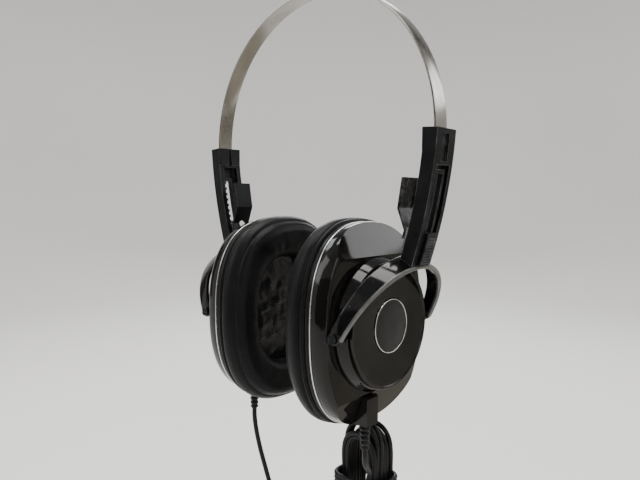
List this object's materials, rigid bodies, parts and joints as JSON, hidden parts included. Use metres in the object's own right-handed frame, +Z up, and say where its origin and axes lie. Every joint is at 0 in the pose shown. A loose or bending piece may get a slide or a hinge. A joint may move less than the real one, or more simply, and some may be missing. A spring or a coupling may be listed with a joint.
{
  "type": "wired stereo headphones",
  "caption": "Vintage closed headphones: a bare spring band, channelled arms with ratcheting strap sliders, tilting oval cups in half-ring yokes, and a tied cord with a jack plug",
  "frame": {"origin": "the underside of the headband at its crown, where it rests on a stand or head", "axes": "+Z up along the longest extent, +X towards the wearer's left cup, -Y to the wearer's front"},
  "size_m": [0.162, 0.0854, 0.4521],
  "materials": {
    "chrome_strip": "bright spring steel, lightly worn",
    "satin_black": "satin moulded black plastic with pale rubbed edges",
    "gloss_black": "polished black moulding",
    "yoke_black": "gloss black ribbon with a dull grey bead",
    "nickel": "dull nickel-plated steel",
    "silver_trim": "bright plated trim",
    "badge_black": "fine-grained matt black",
    "vinyl": "soft black vinyl over foam, lightly creased",
    "damping_cloth": "thin black damping cloth",
    "cone_paper": "dark grey pressed cone",
    "magnet": "grey magnet and pole plate",
    "cord_black": "matt black flexible PVC"
  },
  "bodies": {
    "frame": {"headband_strip": "chrome_strip", "left_arm": "satin_black", "left_band_rivet": "satin_black", "left_yoke": "yoke_black", "left_front_pivot_screw": "satin_black", "left_rear_pivot_screw": "satin_black", "right_arm": "satin_black", "right_band_rivet": "satin_black", "right_yoke": "yoke_black", "right_front_pivot_screw": "satin_black", "right_rear_pivot_screw": "satin_black", "left_branch_cord": "cord_black", "right_branch_cord": "cord_black", "y_split": "cord_black", "main_cord": "cord_black", "cord_hank": "cord_black", "cord_tie": "cord_black", "plug_cord": "cord_black", "plug_grip": "cord_black", "plug_pin": "nickel"},
    "left_cup": {"left_cup_shell": "gloss_black", "left_boss_housing": "gloss_black", "left_boss_cap": "gloss_black", "left_badge_ring": "silver_trim", "left_badge_insert": "badge_black", "left_trim_ring": "silver_trim", "left_pad_frame": "satin_black", "left_baffle": "satin_black", "left_driver_basket": "nickel", "left_driver_cone": "cone_paper", "left_driver_magnet": "magnet", "left_dust_cloth": "damping_cloth", "left_ear_pad": "vinyl", "left_cord_block": "gloss_black", "left_strain_relief": "cord_black"},
    "right_cup": {"right_cup_shell": "gloss_black", "right_boss_housing": "gloss_black", "right_boss_cap": "gloss_black", "right_badge_ring": "silver_trim", "right_badge_insert": "badge_black", "right_trim_ring": "silver_trim", "right_pad_frame": "satin_black", "right_baffle": "satin_black", "right_driver_basket": "nickel", "right_driver_cone": "cone_paper", "right_driver_magnet": "magnet", "right_dust_cloth": "damping_cloth", "right_ear_pad": "vinyl", "right_cord_block": "gloss_black", "right_strain_relief": "cord_black"},
    "left_slider": {"left_slider_grip": "satin_black", "left_slider_plate": "nickel", "left_slider_screw": "nickel", "left_detent_spring": "nickel", "left_strap_tab": "satin_black"},
    "right_slider": {"right_slider_grip": "satin_black", "right_slider_plate": "nickel", "right_slider_screw": "nickel", "right_detent_spring": "nickel", "right_strap_tab": "satin_black"}
  },
  "joints": [
    {"name": "left_cup_tilt", "type": "hinge", "parent": "frame", "child": "left_cup", "pos_m": [0.0472, 0, -0.1717], "axis": [0, 1, 0], "range_deg": [-8, 8]},
    {"name": "right_cup_tilt", "type": "hinge", "parent": "frame", "child": "right_cup", "pos_m": [-0.0472, 0, -0.1717], "axis": [0, 1, 0], "range_deg": [-8, 8]},
    {"name": "left_strap_slide", "type": "hinge", "parent": "frame", "child": "left_slider", "pos_m": [-0.1703, 0, -0.0587], "axis": [0, -1, 0], "range_deg": [0, 6.1]},
    {"name": "right_strap_slide", "type": "hinge", "parent": "frame", "child": "right_slider", "pos_m": [0.1703, 0, -0.0587], "axis": [0, 1, 0], "range_deg": [0, 6.1]}
  ]
}
